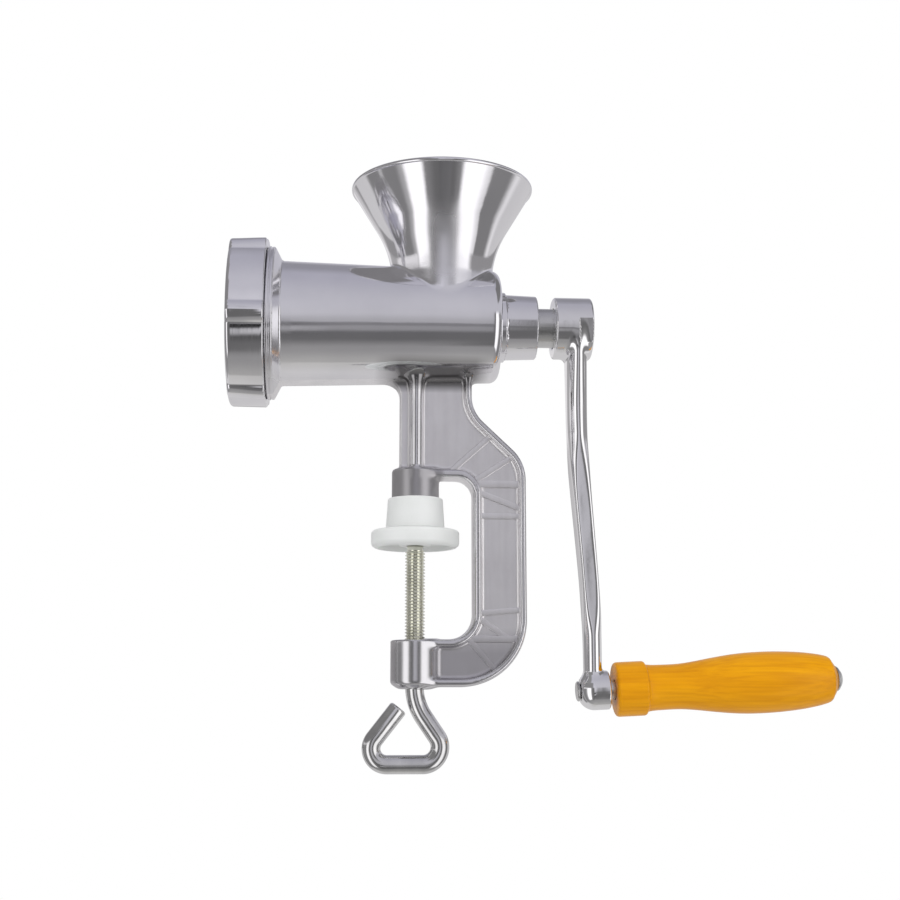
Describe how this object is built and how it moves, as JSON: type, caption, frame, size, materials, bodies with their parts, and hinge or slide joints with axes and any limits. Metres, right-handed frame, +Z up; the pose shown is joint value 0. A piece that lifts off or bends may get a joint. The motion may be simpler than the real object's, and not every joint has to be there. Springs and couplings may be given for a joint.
{
  "type": "hand crank meat grinder",
  "caption": "Cast aluminium table-clamp meat grinder: flared hopper, barrel with ring nut, ribbed C-frame with loop-handled screw, chromed crank with turned wooden grip.",
  "frame": {"origin": "centre of the jaw cap's underside, the face that rests on the table top, on the clamp screw's axis", "axes": "+Z up along the clamp screw, +X along the barrel from the outlet towards the crank, +Y across the frame, away from the side in the picture"},
  "size_m": [0.2421, 0.0738, 0.2342],
  "materials": {
    "cast_aluminium": "polished casting",
    "chromed_steel": "bright chrome over forged steel",
    "steel": "turned",
    "zinc_plated_steel": "zinc plated",
    "white_nylon": "moulded",
    "varnished_wood": "gloss varnish"
  },
  "bodies": {
    "frame": {"body_casting": "cast_aluminium", "jaw_cap": "white_nylon", "plate_key": "steel", "neck_bushing": "white_nylon", "thrust_washer": "white_nylon"},
    "crank": {"auger": "cast_aluminium", "knife_stud": "steel", "knife": "steel", "drive_shaft": "steel", "crank_arm": "chromed_steel", "crank_washer": "steel", "crank_screw": "steel", "grip_spindle": "steel", "grip_spacer": "steel"},
    "grip": {"grip": "varnished_wood"},
    "plate": {"cutting_plate": "steel"},
    "ring": {"ring_nut": "cast_aluminium"},
    "pad": {"screw_pad": "white_nylon"},
    "screw": {"clamp_screw": "zinc_plated_steel", "pad_retainer": "steel"}
  },
  "joints": [
    {"name": "crank_spin", "type": "hinge", "parent": "frame", "child": "crank", "pos_m": [0, 0, 0.0828], "axis": [1, 0, 0], "continuous": true},
    {"name": "grip_spin", "type": "hinge", "parent": "crank", "child": "grip", "pos_m": [0.0695, 0, -0.0621], "axis": [0.9988, 0, 0.0489], "continuous": true},
    {"name": "clamp_travel", "type": "slide", "parent": "frame", "child": "pad", "axis": [0, 0, -1], "range_m": [0, 0.035]},
    {"name": "screw_turn", "type": "hinge", "parent": "pad", "child": "screw", "pos_m": [0, 0, -0.06], "axis": [0, 0, -1], "range_deg": [0, 10080]},
    {"name": "plate_travel", "type": "slide", "parent": "frame", "child": "plate", "axis": [-1, 0, 0], "range_m": [0, 0.005]},
    {"name": "ring_turn", "type": "hinge", "parent": "plate", "child": "ring", "pos_m": [-0.0666, 0, 0.0828], "axis": [-1, 0, 0], "range_deg": [0, 900]}
  ],
  "couplings": [
    {"joint": "clamp_travel", "follows": "screw_turn", "m_per_rad": 0.00019894},
    {"joint": "plate_travel", "follows": "ring_turn", "m_per_rad": 0.00031831}
  ]
}
